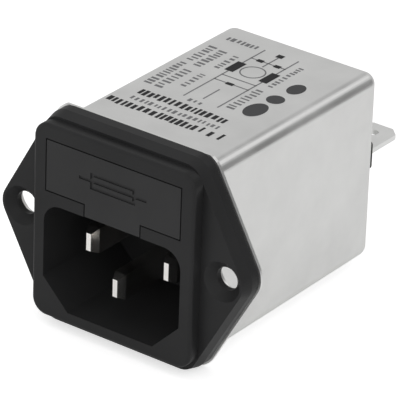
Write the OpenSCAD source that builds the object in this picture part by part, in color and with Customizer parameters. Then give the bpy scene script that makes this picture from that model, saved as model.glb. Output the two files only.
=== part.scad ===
// Mains inlet filter for panel mounting: an appliance inlet with a one-fuse
// drawer, moulded in one with its flange, on the front of a deep-drawn shielding
// can that holds the interference filter, with three blade terminals at the back.
// X runs across the inlet, Y from the front face back into the can, Z up.
// The origin lies midway between the mounting holes, in the rear face of the
// can's collar, which is the face that bears on the panel.

/* [Mounting flange] */
// Distance between the centres of the two mounting holes
hole_pitch = 36; // [35:0.5:38]
// Diameter of the mounting holes
hole_d = 3.6; // [3:0.1:4]
// Length of the holes' narrow part, behind the countersinks
hole_l = 1; // [0.8:0.1:1.4]
// Diameter of the wider holes behind that, in the moulding and in the collar
relief_d = 6; // [5:0.1:6.2]
// Diameter of the countersinks at the flange's front
countersink_d = 6.2; // [5.6:0.1:6.6]
// Radius of the rounded ears, about the mounting holes
ear_r = 3.95; // [3.7:0.05:4.6]
// Height of the flange
flange_h = 33.7; // [33:0.1:38]
// Distance between the left and right corner arcs of the flange
flange_corner_pitch = 22.4; // [20:0.1:24]
// Radius of the flange's four corners
flange_corner_r = 3.4; // [2.6:0.1:4.2]
// Thickness of the moulded flange
flange_t = 3.5; // [3:0.1:4]
// Depth of the bevel around the flange's front edge
flange_bevel_t = 1.85; // [0.8:0.05:2.4]
// Width of the bevel around the flange's front edge
flange_bevel_w = 0.45; // [0.3:0.05:0.6]

/* [Front block] */
// Width of the raised block on the flange
block_w = 28.6; // [27.6:0.1:29]
// Height of the raised block
block_h = 31; // [30.6:0.1:31.6]
// Height of the block's middle above the mounting holes
block_z = 0.4; // [0.2:0.1:0.6]
// How far the block stands out of the flange
block_rise = 2; // [1.6:0.1:3]
// Radius of the block's four corners
block_r = 2.5; // [1.2:0.1:3]
// Radius of the rounding around the block's front edge
block_edge_r = 0.5; // [0.3:0.1:0.7]

/* [Inlet well] */
// Width of the well that takes the mains plug
well_w = 24.5; // [24.4:0.05:24.7]
// Height of the well
well_h = 16.55; // [16.4:0.05:16.8]
// Depth of the well from the block's front face
well_depth = 17; // [16.5:0.1:18]
// Height of the well's middle under the mounting holes
well_drop = 4.95; // [4.8:0.05:5.1]
// Radius of the well's two upper corners
well_corner_r = 3; // [2:0.1:3.5]
// Size of the chamfers at the well's two lower corners
well_chamfer = 4.6; // [4.2:0.1:5]
// Thickness of the well's floor
well_floor_t = 1.5; // [1.2:0.1:2]
// Thickness of the moulding beside the well
well_wall = 0.65; // [0.6:0.05:0.9]
// Thickness of the moulding under the well
well_sill = 1.6; // [1.2:0.1:1.9]

/* [Inlet pins] */
// Width of each pin
pin_w = 2; // [1.9:0.05:2.1]
// Height of each pin
pin_h = 4; // [3.9:0.05:4.1]
// Distance between the line pin and the neutral pin
pin_pitch = 14; // [13.5:0.1:14.5]
// Height of the line and neutral pins above the earth pin
pin_step = 4; // [3.8:0.1:4.3]
// Depth of the line and neutral tips behind the front face
pin_setback = 3.8; // [3:0.1:4.5]
// Depth of the earth pin's tip behind the front face
earth_setback = 1.1; // [0.6:0.1:2]
// Length of the bevels at the pin tips
pin_tip_l = 1.3; // [0.8:0.1:1.8]
// Depth of the bevels at the pin tips
pin_tip_cut = 0.6; // [0.3:0.05:0.8]
// Width of the soldering tails of the pins and fuse contacts
tail_w = 0.8; // [0.6:0.05:1]
// Height of the soldering tails
tail_h = 2; // [1.6:0.1:2.4]
// Thickness of the shoulder behind the well's floor
shoulder_t = 0.8; // [0.6:0.1:1]
// How far the shoulder stands out around its pin
shoulder_lip = 0.6; // [0.4:0.1:0.8]
// How far the soldering tails stand out behind the circuit board
tail_out = 1; // [0.6:0.1:1.4]

/* [Fuse drawer] */
// Width of the drawer's front
drawer_w = 23.8; // [23.6:0.1:24]
// Height of the drawer's front
drawer_h = 8; // [7.8:0.1:8.2]
// Thickness of the drawer's front
drawer_front_t = 1.8; // [1.4:0.1:2.2]
// Running gap all around the drawer
drawer_gap = 0.2; // [0.15:0.05:0.3]
// Thickness of the partition between the well and the drawer
partition_t = 1.9; // [1.6:0.1:2.2]
// Thickness of the roof over the drawer
pocket_roof = 0.8; // [0.7:0.05:1.2]
// Width of the pull tab under the drawer's front
pull_w = 9.8; // [8:0.2:12]
// Height of the pull tab's lower edge above the well's ceiling
pull_edge = 0.1; // [0.05:0.05:0.3]
// Thickness of the drawer's floor
drawer_floor_t = 1.15; // [1:0.05:1.2]
// Thickness of the drawer's inner walls
drawer_wall = 0.8; // [0.6:0.05:1]
// Height of the low rails at the ends of the fuse in use
rail_h = 0.6; // [0.4:0.1:0.6]
// How far the drawer's rear wall stops short of the fuse's ends
rear_wall_cut = 0.6; // [0.5:0.1:1.5]
// Depth of the sunk fuse symbol on the drawer's front
symbol_depth = 0.2; // [0.1:0.05:0.4]
// Line width of the fuse symbol
symbol_line = 0.5; // [0.3:0.05:0.7]
// Width of the fuse symbol's box
symbol_w = 8; // [6:0.2:10]
// Height of the fuse symbol's box
symbol_h = 2.6; // [1.8:0.1:3]
// Length of the symbol's line on either side of its box
symbol_lead = 2; // [1:0.2:3]

/* [Fuses] */
// Length of a fuse
fuse_l = 20; // [19.5:0.1:20.2]
// Diameter of the fuse caps
fuse_d = 5.2; // [5:0.05:5.3]
// Length of a fuse cap
cap_l = 5; // [4:0.1:6]
// Thickness of the caps' sheet metal
cap_t = 0.25; // [0.2:0.05:0.3]
// Thickness of the fuse's glass wall
glass_t = 0.5; // [0.4:0.05:0.7]
// Diameter of the fuse wire
fuse_wire_d = 0.3; // [0.2:0.05:0.5]
// Free space on either side of a fuse in its drawer
fuse_gap = 0.25; // [0.15:0.05:0.35]
// Thickness of the contact springs
spring_t = 0.4; // [0.3:0.05:0.45]
// Width of the contact springs
spring_h = 4; // [3:0.1:4.4]
// Half the length of a contact spring's bow
spring_half = 2.3; // [2:0.1:2.4]
// Space between a contact spring and the fuse cap
spring_gap = 0.15; // [0.1:0.05:0.2]

/* [Shielding can] */
// Length of the can behind the panel
can_l = 40.65; // [40:0.05:50]
// Thickness of the can's sheet metal
can_t = 0.5; // [0.4:0.05:0.6]
// Outer radius of the can's long edges and back edges
can_r = 2; // [1.5:0.1:2.5]
// How far the can's collar stands out at the flange's slanted sides and ears
collar_lip = 0.3; // [0.1:0.05:0.5]
// How far the collar's flat top and bottom edges lie inside the flange's
collar_trim = 0.05; // [0:0.05:0.5]
// Gap between the moulded parts and the can
can_fit = 0.15; // [0.1:0.05:0.2]
// Size of the bevel where the can is drawn out of its collar
draw_r = 0.6; // [0.4:0.1:1]

/* [Terminals] */
// Width of the blade terminals
blade_w = 6.3; // [4.8:0.1:6.3]
// Thickness of the blade terminals
blade_t = 0.8; // [0.7:0.05:0.9]
// Length of the blades behind the can
blade_l = 10; // [9:0.1:12]
// Length of the line and neutral blades inside the can
blade_inner_l = 4.6; // [4:0.1:6]
// Distance between the line blade and the neutral blade
blade_pitch = 16.4; // [15.6:0.1:16.6]
// Height of the line and neutral blades above the mounting holes
blade_z = 0.3; // [0:0.1:0.8]
// Depth of the earth blade under the mounting holes
earth_blade_drop = 8.4; // [8:0.1:8.6]
// Size of the chamfers at the blades' ends
blade_chamfer = 1.4; // [0.8:0.1:1.8]
// Diameter of the hole in each blade
blade_hole_d = 1.8; // [1.6:0.1:2]
// Distance from the blade's end to its hole
blade_hole_y = 2.9; // [2.6:0.1:4]
// Length of the insulating bosses behind the can
boss_l = 1.2; // [0.8:0.1:3]
// Thickness of the insulating bosses around the blades
boss_wall = 0.8; // [0.7:0.05:1]
// Height of the insulating bosses
boss_h = 4.6; // [4:0.1:5.4]
// Radius of the corners of the bosses and of the plate they stand on
boss_r = 0.6; // [0.4:0.1:1]
// Thickness of the insulating plate inside the can
insulator_t = 1.5; // [1:0.1:2]
// How far the insulating plate stands out above and below the bosses
insulator_edge = 1.5; // [0.8:0.1:2]
// Diameter of the earth rivet's shank
rivet_d = 2.4; // [2:0.1:2.6]
// Diameter of the earth rivet's heads
rivet_head_d = 3.8; // [3.4:0.1:3.9]
// Height of the earth rivet's heads
rivet_head_t = 0.8; // [0.6:0.1:1]
// Height of the earth blade's foot
foot_h = 5; // [4.8:0.1:5.2]

/* [Filter] */
// Space between the well's floor and the circuit board
board_gap = 2.4; // [2:0.1:3]
// Thickness of the circuit board
board_t = 1.2; // [1:0.1:1.6]
// Gap between the board's edges and the can
board_edge_gap = 0.4; // [0.2:0.1:0.6]
// Free space around each part that passes through the board
lead_gap = 0.1; // [0.05:0.05:0.2]
// Outer diameter of the choke's core
core_d = 14; // [13:0.2:14.4]
// Diameter of the hole in the choke's core
core_bore = 8; // [7.6:0.2:8.4]
// Length of the choke's core
core_l = 6.5; // [5.5:0.1:8]
// Radius of the core's rounded edges
core_edge_r = 0.7; // [0.4:0.1:1]
// Height of the choke's middle above the mounting holes
core_z = 5.2; // [5:0.1:5.6]
// Diameter of the choke's wire
choke_wire_d = 0.6; // [0.4:0.05:0.65]
// Gap between the choke's wire and its core
winding_gap = 0.35; // [0.3:0.05:0.4]
// Number of turns in each winding
turns = 9; // [6:1:9]
// Angle that each winding covers
winding_angle = 124; // [116:2:130]
// Space between the circuit board and the choke's windings
choke_stand = 0.2; // [0.1:0.05:0.5]
// Thickness of the divider in the choke's hole
divider_t = 1; // [0.8:0.1:1.4]
// Gap between the divider's edges and the core
divider_gap = 0.3; // [0.2:0.05:0.4]
// Width, height and thickness of the foot that the divider stands on
divider_foot = [2.6, 3, 0.6];
// Width of the line-to-neutral capacitor
x_cap_w = 18; // [16:0.5:20]
// Height of the line-to-neutral capacitor
x_cap_h = 5; // [4:0.1:5.2]
// Length of the line-to-neutral capacitor
x_cap_l = 11; // [9:0.5:14]
// Distance between the line-to-neutral capacitor's leads
x_cap_pitch = 15; // [10:0.5:15]
// Gap between the earth strap and the line-to-neutral capacitor under it
x_cap_gap = 0.6; // [0.4:0.1:0.8]
// Radius of that capacitor's long edges
x_cap_edge_r = 0.5; // [0.3:0.1:0.8]
// Diameter of the capacitors to earth
y_cap_d = 7; // [6:0.1:7.4]
// Thickness of the capacitors to earth
y_cap_t = 2.8; // [2:0.1:3]
// Radius of their rounded rims
y_cap_edge_r = 0.9; // [0.6:0.1:0.9]
// Gap between the can and the capacitors to earth
y_cap_gap = 1.2; // [1:0.1:1.4]
// Distance between the leads of each capacitor to earth
y_cap_pitch = 5; // [4.8:0.1:5.4]
// Length of the leads between the board and each capacitor to earth
y_cap_stand = 2; // [1.5:0.1:4]
// Diameter of the resistor's body
resistor_d = 2.4; // [2:0.1:2.6]
// Length of the resistor's body
resistor_l = 6.5; // [5:0.1:7]
// Distance between the resistor's leads
resistor_pitch = 10; // [9:0.1:10.2]
// Depth of the resistor under the line and neutral pins
resistor_drop = 1; // [0.8:0.1:1.2]
// Space between the circuit board and the resistor
resistor_stand = 0.5; // [0.3:0.1:1]
// Diameter of the components' leads
lead_d = 0.6; // [0.5:0.05:0.7]
// How far the leads stand out at the front of the board
lead_end = 1; // [0.6:0.1:1.4]
// Diameter of the insulated wires
wire_d = 1.8; // [1.5:0.1:2]
// Length of each wire that lies on its blade
wire_lap = 2; // [1.5:0.1:2.4]
// Width of the earth strap
strap_w = 4; // [3.6:0.1:5]
// Thickness of the earth strap
strap_t = 0.5; // [0.4:0.05:0.6]

/* [Hidden] */
$fn = 48;
// A depth that carries a cut clear through the face it starts from
over = 1;

// Planes across the Y axis, from front to back
collar_t = can_t;
flange_back = -collar_t;
flange_front = flange_back - flange_t;
front_y = flange_front - block_rise;
well_floor_y = front_y + well_depth;
skirt_end = well_floor_y + well_floor_t;
board_front = skirt_end + board_gap;
board_back = board_front + board_t;
can_inner_end = can_l - can_t;

// Heights of the well and of the drawer over it
well_z = -well_drop;
well_top = well_z + well_h / 2;
well_bottom = well_z - well_h / 2;
pocket_bottom = well_top + partition_t;
drawer_bottom = pocket_bottom + drawer_gap;
drawer_z = drawer_bottom + drawer_h / 2;
pocket_top = drawer_bottom + drawer_h + drawer_gap;

// The moulded skirt behind the flange, and the can around it
skirt_w = well_w + 2 * well_wall;
skirt_top = pocket_top + pocket_roof;
skirt_bottom = well_bottom - well_sill;
skirt_h = skirt_top - skirt_bottom;
skirt_z = (skirt_top + skirt_bottom) / 2;
can_inner_w = skirt_w + 2 * can_fit;
can_inner_h = skirt_h + 2 * can_fit;
can_inner_r = can_r - can_t;
can_w = can_inner_w + 2 * can_t;
can_h = can_inner_h + 2 * can_t;
skirt_r = can_inner_r - can_fit;

// Pins
pin_x = pin_pitch / 2;
pin_z = well_z + pin_step / 2;
earth_pin_z = well_z - pin_step / 2;
tail_end = board_back + tail_out;

// Drawer, from front to back: front, spare fuse, divider, fuse, rear wall
drawer_in_w = drawer_w - 2 * drawer_gap;
spare_y = front_y + drawer_front_t + fuse_gap + fuse_d / 2;
divider_front = spare_y + fuse_d / 2 + fuse_gap;
divider_back = divider_front + drawer_wall;
fuse_y = divider_back + fuse_gap + fuse_d / 2;
drawer_rear = fuse_y + fuse_d / 2 + fuse_gap;
drawer_end = drawer_rear + drawer_wall;
pocket_end = drawer_end + 3 * drawer_gap;
fuse_z = drawer_bottom + drawer_floor_t + fuse_gap + fuse_d / 2;
drawer_wall_top = fuse_z + fuse_d / 4;
pull_h = partition_t + drawer_gap - pull_edge;
glass_d = fuse_d - 2 * cap_t;

// Contact springs, bowed between the pocket's wall and the fuse cap
spring_x = drawer_w / 2 + drawer_gap - spring_t;
spring_peak = fuse_l / 2 + spring_gap + spring_t / 2;
spring_bow = spring_x - spring_peak;

// Terminals
blade_x = blade_pitch / 2;
blade_end = can_l + blade_l;
earth_blade_z = -earth_blade_drop;
rivet_z = earth_blade_z - foot_h / 2;
boss_w = blade_w + 2 * boss_wall;
insulator_w = blade_pitch + boss_w;
insulator_h = boss_h + 2 * insulator_edge;

// Filter
choke_gap = winding_gap + choke_wire_d;
core_front = board_back + choke_stand + choke_gap;
core_back = core_front + core_l;
core_mid_r = (core_d + core_bore) / 4;
core_ring = (core_d - core_bore) / 2;
winding_r = core_ring / 2 + winding_gap + choke_wire_d / 2;
winding_y = core_l / 2 + winding_gap + choke_wire_d / 2;
y_cap_x = can_inner_w / 2 - y_cap_gap - y_cap_t / 2;
y_cap_y = board_back + y_cap_stand + y_cap_d / 2;
y_cap_z = fuse_z;
resistor_z = pin_z - resistor_drop;
resistor_y = board_back + resistor_stand + resistor_d / 2;
wire_x = blade_x + blade_w / 2 - wire_d / 2;
wire_z = blade_z + blade_t / 2 + wire_d / 2;
wire_end = can_l - blade_inner_l + wire_lap;
strap_z = earth_pin_z - tail_h / 2 - strap_t / 2;
x_cap_z = strap_z - strap_t / 2 - x_cap_gap - x_cap_h / 2;

// ---- Helpers ---------------------------------------------------------------

// Draws a flat shape in X and Z, and gives it the depth from y0 to y1
module along_y(y0, y1) {
    translate([0, y1, 0]) rotate([90, 0, 0]) linear_extrude(y1 - y0) children();
}

// A box by its ranges in X, Y and Z
module span(x, y, z) {
    translate([x[0], y[0], z[0]]) cube([x[1] - x[0], y[1] - y[0], z[1] - z[0]]);
}

// A cylinder along Y from y0 to y1, at x and z
module rod_y(d, y0, y1, x = 0, z = 0) {
    translate([x, y0, z]) rotate([-90, 0, 0]) cylinder(h = y1 - y0, d = d);
}

// A cylinder along X between x0 and x1
module rod_x(d, x0, x1) {
    translate([x0, 0, 0]) rotate([0, 90, 0]) cylinder(h = x1 - x0, d = d);
}

// A rectangle with round corners
module round_rect(w, h, r) {
    square([w - 2 * r, h], center = true);
    square([w, h - 2 * r], center = true);
    for (x = [-1, 1], y = [-1, 1])
        translate([x * (w / 2 - r), y * (h / 2 - r)]) circle(r = r);
}

// Copies a part to the other side of the YZ plane as well
module both_sides() {
    children();
    mirror([1, 0, 0]) children();
}

// The direction of the outward normal on the line that touches circles a and b
function touch_angle(a, b) =
    let (dx = b.x - a.x, dy = b.y - a.y)
    atan2(dy, dx) - acos((a[2] - b[2]) / norm([dx, dy]));

// The outline around a ring of circles [x, y, r], taken counter-clockwise
function around(c, steps = 8) = [
    for (i = [0 : len(c) - 1])
        let (
            before = c[(i + len(c) - 1) % len(c)],
            after = c[(i + 1) % len(c)],
            start = touch_angle(before, c[i]),
            turn = (touch_angle(c[i], after) - start + 720) % 360
        )
        for (k = [0 : steps])
            let (a = start + turn * k / steps)
            [c[i].x + c[i][2] * cos(a), c[i].y + c[i][2] * sin(a)]
];

// ---- Front moulding ----------------------------------------------------------

// The flange's six-sided outline with round ears, set back by inset
module flange_outline(inset = 0) {
    cx = flange_corner_pitch / 2;
    cz = flange_h / 2 - flange_corner_r;
    cr = flange_corner_r - inset;
    er = ear_r - inset;
    polygon(around([
        [hole_pitch / 2, 0, er],
        [cx, cz, cr],
        [-cx, cz, cr],
        [-hole_pitch / 2, 0, er],
        [-cx, -cz, cr],
        [cx, -cz, cr]
    ]));
}

// The flange plate, bevelled around its front edge
module flange_plate() {
    hull() {
        along_y(flange_front + flange_bevel_t, flange_back) flange_outline();
        along_y(flange_front, flange_back) flange_outline(flange_bevel_w);
    }
}

// The raised block, with its front edge rounded
module front_block() {
    r = block_edge_r;
    translate([0, 0, block_z]) hull() {
        for (a = [0 : 22.5 : 90]) {
            inset = r * (1 - cos(a));
            along_y(front_y + r * (1 - sin(a)), flange_front + over)
                round_rect(block_w - 2 * inset, block_h - 2 * inset, block_r - inset);
        }
    }
}

// The part of the moulding that reaches into the can
module skirt() {
    translate([0, 0, skirt_z]) along_y(flange_back - over, skirt_end)
        round_rect(skirt_w, skirt_h, skirt_r);
}

// The well's outline: round above, chamfered below, about the well's middle
module well_outline() {
    w = well_w / 2;
    h = well_h / 2;
    r = well_corner_r;
    c = well_chamfer;
    polygon([[-w, -h + c], [-w + c, -h], [w - c, -h], [w, -h + c], [w, h - r], [-w, h - r]]);
    translate([-w + r, 0]) square([well_w - 2 * r, h]);
    for (x = [-w + r, w - r])
        translate([x, h - r]) circle(r = r);
}

// The space that the fuse drawer slides in, with the notch for its pull tab
module drawer_pocket() {
    w = drawer_w / 2 + drawer_gap;
    pull = pull_w / 2 + drawer_gap;
    span([-w, w], [front_y - over, pocket_end], [pocket_bottom, pocket_top]);
    span([-pull, pull], [front_y - over, front_y + drawer_front_t + 2 * drawer_gap],
         [well_top - over, pocket_bottom + over]);
}

// The two mounting holes, countersunk in front and wider again behind
module mounting_holes() {
    cone_h = (countersink_d - hole_d) / 2;
    both_sides() {
        rod_y(countersink_d, flange_front - over, flange_front, hole_pitch / 2);
        translate([hole_pitch / 2, flange_front, 0]) rotate([-90, 0, 0])
            cylinder(h = cone_h, d1 = countersink_d, d2 = hole_d);
        rod_y(hole_d, flange_front, over, hole_pitch / 2);
        rod_y(relief_d, flange_front + cone_h + hole_l, over, hole_pitch / 2);
    }
}

// The slots that the three pins are pressed into
module pin_slots() {
    for (p = [[-pin_x, pin_z], [pin_x, pin_z], [0, earth_pin_z]])
        span([p.x - pin_w / 2, p.x + pin_w / 2], [well_floor_y - over, skirt_end + over],
             [p.y - pin_h / 2, p.y + pin_h / 2]);
}

// The slots that the fuse contacts pass through behind the drawer
module contact_slots() {
    both_sides()
        span([spring_x - spring_t / 2, spring_x + spring_t / 2],
             [pocket_end - over, skirt_end + over],
             [fuse_z - spring_h / 2, fuse_z + spring_h / 2]);
}

module front_moulding() {
    color([0.20, 0.20, 0.21]) difference() {
        union() {
            flange_plate();
            front_block();
            skirt();
        }
        translate([0, 0, well_z]) along_y(front_y - over, well_floor_y) well_outline();
        drawer_pocket();
        mounting_holes();
        pin_slots();
        contact_slots();
    }
}

// ---- Shielding can -------------------------------------------------------------

// A box with a flat front, round long edges and a round closed back
module drawn_box(w, h, r, y0, y1) {
    translate([0, 0, skirt_z]) hull() {
        along_y(y0, y0 + can_t) round_rect(w, h, r);
        for (x = [-1, 1], z = [-1, 1])
            translate([x * (w / 2 - r), y1 - r, z * (h / 2 - r)]) sphere(r = r);
    }
}

// The windows in the can's back that the insulating bosses stand in
module boss_windows() {
    both_sides()
        translate([blade_x, 0, blade_z]) along_y(can_inner_end - over, can_l + over)
            round_rect(boss_w + 2 * can_fit, boss_h + 2 * can_fit, boss_r + can_fit);
}

// The collar's outline: a little wider than the flange, and trimmed flush with it
// above and below
module collar_outline() {
    intersection() {
        flange_outline(-collar_lip);
        square([2 * hole_pitch, flange_h - 2 * collar_trim], center = true);
    }
}

module shield_can() {
    color([0.80, 0.80, 0.79]) difference() {
        union() {
            along_y(-collar_t, 0) collar_outline();
            drawn_box(can_w, can_h, can_r, -collar_t, can_l);
            translate([0, 0, skirt_z]) hull() {
                along_y(-collar_t, 0)
                    round_rect(can_w + 2 * draw_r, can_h + 2 * draw_r, can_r + draw_r);
                along_y(-collar_t, draw_r) round_rect(can_w, can_h, can_r);
            }
        }
        drawn_box(can_inner_w, can_inner_h, can_inner_r, -collar_t - over, can_inner_end);
        both_sides()
            rod_y(relief_d, -collar_t - over, over, hole_pitch / 2);
        boss_windows();
        rod_y(rivet_d, can_inner_end - over, can_l + over, 0, rivet_z);
    }
}

// ---- Fuse drawer ---------------------------------------------------------------

// The fuse symbol, a box with a line through it, sunk into the drawer's front
module fuse_symbol() {
    translate([0, 0, drawer_z]) along_y(front_y - over, front_y + symbol_depth) {
        difference() {
            square([symbol_w, symbol_h], center = true);
            square([symbol_w - 2 * symbol_line, symbol_h - 2 * symbol_line], center = true);
        }
        square([symbol_w + 2 * symbol_lead, symbol_line], center = true);
    }
}

module fuse_drawer() {
    w = drawer_w / 2;
    in_w = drawer_in_w / 2;
    front_back = front_y + drawer_front_t;
    end_x = fuse_l / 2 + fuse_gap;
    rear_x = end_x - rear_wall_cut;
    floor_top = drawer_bottom + drawer_floor_t;
    color([0.24, 0.24, 0.25]) difference() {
        union() {
            span([-w, w], [front_y, front_back], [drawer_bottom, drawer_bottom + drawer_h]);
            span([-pull_w / 2, pull_w / 2], [front_y, front_back],
                 [drawer_bottom - pull_h, drawer_bottom + over]);
            span([-in_w, in_w], [front_back - over, drawer_end], [drawer_bottom, floor_top]);
            span([-in_w, in_w], [divider_front, divider_back], [drawer_bottom, drawer_wall_top]);
            span([-rear_x, rear_x], [drawer_rear, drawer_end], [drawer_bottom, drawer_wall_top]);
            both_sides() {
                span([end_x, in_w], [front_back - over, divider_back],
                     [drawer_bottom, drawer_wall_top]);
                span([end_x, end_x + drawer_wall], [divider_back - over, drawer_end],
                     [drawer_bottom, floor_top + rail_h]);
            }
        }
        fuse_symbol();
    }
}

// ---- Fuses ---------------------------------------------------------------------

// Places a fuse, drawn along X about its middle, at y in the drawer
module in_drawer(y) {
    translate([0, y, fuse_z]) children();
}

module glass_tube() {
    half = fuse_l / 2 - cap_t;
    color([0.80, 0.88, 0.88, 0.5]) difference() {
        rod_x(glass_d, -half, half);
        rod_x(glass_d - 2 * glass_t, -half - over, half + over);
    }
}

module end_caps() {
    color([0.80, 0.79, 0.74]) both_sides() difference() {
        rod_x(fuse_d, fuse_l / 2 - cap_l, fuse_l / 2);
        rod_x(glass_d, fuse_l / 2 - cap_l - over, fuse_l / 2 - cap_t);
    }
}

module element() {
    color([0.75, 0.72, 0.68]) rod_x(fuse_wire_d, -fuse_l / 2 + cap_t, fuse_l / 2 - cap_t);
}

module fuse_glass() {
    in_drawer(fuse_y) glass_tube();
}

module fuse_caps() {
    in_drawer(fuse_y) end_caps();
}

module fuse_element() {
    in_drawer(fuse_y) element();
}

module spare_glass() {
    in_drawer(spare_y) glass_tube();
}

module spare_caps() {
    in_drawer(spare_y) end_caps();
}

module spare_element() {
    in_drawer(spare_y) element();
}

// A contact spring on the +X side: a strip bowed towards the fuse cap, whose
// straight end passes through the moulding and narrows to a soldering tail
module fuse_contact() {
    steps = 12;
    bow = [
        for (k = [0 : steps])
            let (t = 2 * k / steps - 1)
            [spring_x - spring_bow * (1 + cos(180 * t)) / 2, fuse_y + spring_half * t]
    ];
    h = spring_t / 2;
    inner = [for (p = bow) [p.x - h, p.y]];
    outer = [for (i = [steps : -1 : 0]) [bow[i].x + h, bow[i].y]];
    color([0.80, 0.67, 0.42]) {
        translate([0, 0, fuse_z - spring_h / 2]) linear_extrude(spring_h) {
            polygon(concat(inner, outer));
            translate([spring_x - h, fuse_y + spring_half])
                square([spring_t, skirt_end - fuse_y - spring_half]);
        }
        span([spring_x - h, spring_x + h], [skirt_end - over, tail_end],
             [fuse_z - tail_h / 2, fuse_z + tail_h / 2]);
    }
}

module load_fuse_contact() {
    fuse_contact();
}

module line_fuse_contact() {
    mirror([1, 0, 0]) fuse_contact();
}

// ---- Inlet pins ------------------------------------------------------------------

// A profile of width w from the tip at y = 0 back to y = l, bevelled at the tip
module tip_profile(w, l) {
    x = w / 2;
    tip_x = x - pin_tip_cut;
    polygon([[-x, pin_tip_l], [-tip_x, 0], [tip_x, 0], [x, pin_tip_l], [x, l], [-x, l]]);
}

// A flat pin along Y with its tip at tip_y, its shoulder and its tail
module inlet_pin(tip_y) {
    l = skirt_end - tip_y;
    sw = pin_w / 2 + shoulder_lip;
    sh = pin_h / 2 + shoulder_lip;
    color([0.82, 0.80, 0.74]) {
        translate([0, tip_y, 0]) intersection() {
            linear_extrude(pin_h, center = true) tip_profile(pin_w, l);
            rotate([0, 90, 0]) linear_extrude(pin_w, center = true) tip_profile(pin_h, l);
        }
        span([-sw, sw], [skirt_end, skirt_end + shoulder_t], [-sh, sh]);
        span([-tail_w / 2, tail_w / 2], [skirt_end, tail_end], [-tail_h / 2, tail_h / 2]);
    }
}

module line_pin() {
    translate([-pin_x, 0, pin_z]) inlet_pin(front_y + pin_setback);
}

module neutral_pin() {
    translate([pin_x, 0, pin_z]) inlet_pin(front_y + pin_setback);
}

module earth_pin() {
    translate([0, 0, earth_pin_z]) inlet_pin(front_y + earth_setback);
}

// ---- Filter circuit ----------------------------------------------------------------

// The slot in the board for a tail of width w and height h
module tail_slot(x, z, w) {
    span([x - w / 2 - lead_gap, x + w / 2 + lead_gap], [board_front - over, board_back + over],
         [z - tail_h / 2 - lead_gap, z + tail_h / 2 + lead_gap]);
}

// The hole in the board for a lead at x and z
module lead_hole(x, z, d = lead_d) {
    rod_y(d + 2 * lead_gap, board_front - over, board_back + over, x, z);
}

module circuit_board() {
    w = can_inner_w - 2 * board_edge_gap;
    h = can_inner_h - 2 * board_edge_gap;
    color([0.16, 0.40, 0.24]) difference() {
        translate([0, 0, skirt_z]) along_y(board_front, board_back) round_rect(w, h, skirt_r);
        tail_slot(0, earth_pin_z, tail_w);
        both_sides() {
            tail_slot(pin_x, pin_z, tail_w);
            tail_slot(spring_x, fuse_z, spring_t);
            lead_hole(x_cap_pitch / 2, x_cap_z);
            lead_hole(resistor_pitch / 2, resistor_z);
            for (side = [-1, 1]) {
                lead_hole(y_cap_x, y_cap_z + side * y_cap_pitch / 2);
                lead_hole(core_mid_r * cos(winding_angle / 2),
                          core_z + side * core_mid_r * sin(winding_angle / 2), choke_wire_d);
            }
        }
    }
}

module choke_core() {
    color([0.22, 0.22, 0.23]) translate([0, core_front, core_z]) rotate([-90, 0, 0])
        rotate_extrude() translate([core_mid_r, core_l / 2])
            round_rect(core_ring, core_l, core_edge_r);
}

module choke_divider() {
    r = core_bore / 2 - divider_gap;
    foot = divider_foot / 2;
    color([0.85, 0.83, 0.76]) translate([0, 0, core_z]) {
        span([-divider_t / 2, divider_t / 2], [board_back, core_back], [-r, r]);
        span([-foot.x, foot.x], [board_back, board_back + divider_foot.z], [-foot.y, foot.y]);
    }
}

// The direction from the ring's axis out to the part of the ring at u, where u
// runs from 0 to 1 along the wire of one winding
function ring_way(u) =
    let (ring = winding_angle * (u - 0.5))
    [cos(ring), 0, sin(ring)];

// A point on the winding's path. The wire goes around the core's section while
// it moves on around the ring.
function wire_point(u) =
    let (
        a = 360 * turns * u - 90,
        dr = winding_r * sign(cos(a)) * sqrt(abs(cos(a))),
        dy = winding_y * sign(sin(a)) * sqrt(abs(sin(a)))
    )
    (core_mid_r + dr) * ring_way(u) + [0, dy, 0];

// The winding's first and last points, where its leads come out of the board
function lead_point(u) =
    let (p = core_mid_r * ring_way(u))
    [p.x, board_front - lead_end - core_front - core_l / 2, p.z];

// One winding on the +X side, as a wire of round section swept along its path
module winding() {
    steps = turns * 20;
    sides = 6;
    path = concat(
        [lead_point(0)],
        [for (i = [0 : steps]) wire_point(i / steps)],
        [lead_point(1)]
    );
    // Which way is outwards from the core at each point of the path
    outwards = concat(
        [ring_way(0)],
        [for (i = [0 : steps]) wire_point(i / steps) - core_mid_r * ring_way(i / steps)],
        [-ring_way(1)]
    );
    last = len(path) - 1;
    points = [
        for (i = [0 : last])
            let (
                way = path[min(last, i + 1)] - path[max(0, i - 1)],
                along = way / norm(way),
                side = cross(along, outwards[i]),
                across = side / norm(side),
                out = cross(across, along)
            )
            for (k = [0 : sides - 1])
                let (turn = 360 * k / sides)
                path[i] + choke_wire_d / 2 * (cos(turn) * across + sin(turn) * out)
    ];
    faces = [
        [for (k = [0 : sides - 1]) k],
        for (i = [0 : last - 1], k = [0 : sides - 1])
            let (a = i * sides + k, b = i * sides + (k + 1) % sides)
            [a, a + sides, b + sides, b],
        [for (k = [sides - 1 : -1 : 0]) last * sides + k]
    ];
    color([0.72, 0.40, 0.20]) translate([0, core_front + core_l / 2, core_z])
        polyhedron(points, faces, convexity = 10);
}

module line_winding() {
    winding();
}

module neutral_winding() {
    mirror([1, 0, 0]) winding();
}

module x_capacitor() {
    color([0.80, 0.66, 0.22]) translate([0, 0, x_cap_z])
        along_y(board_back, board_back + x_cap_l)
            round_rect(x_cap_w, x_cap_h, x_cap_edge_r);
}

module x_capacitor_leads() {
    color([0.80, 0.80, 0.78]) both_sides()
        rod_y(lead_d, board_front - lead_end, board_back, x_cap_pitch / 2, x_cap_z);
}

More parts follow.
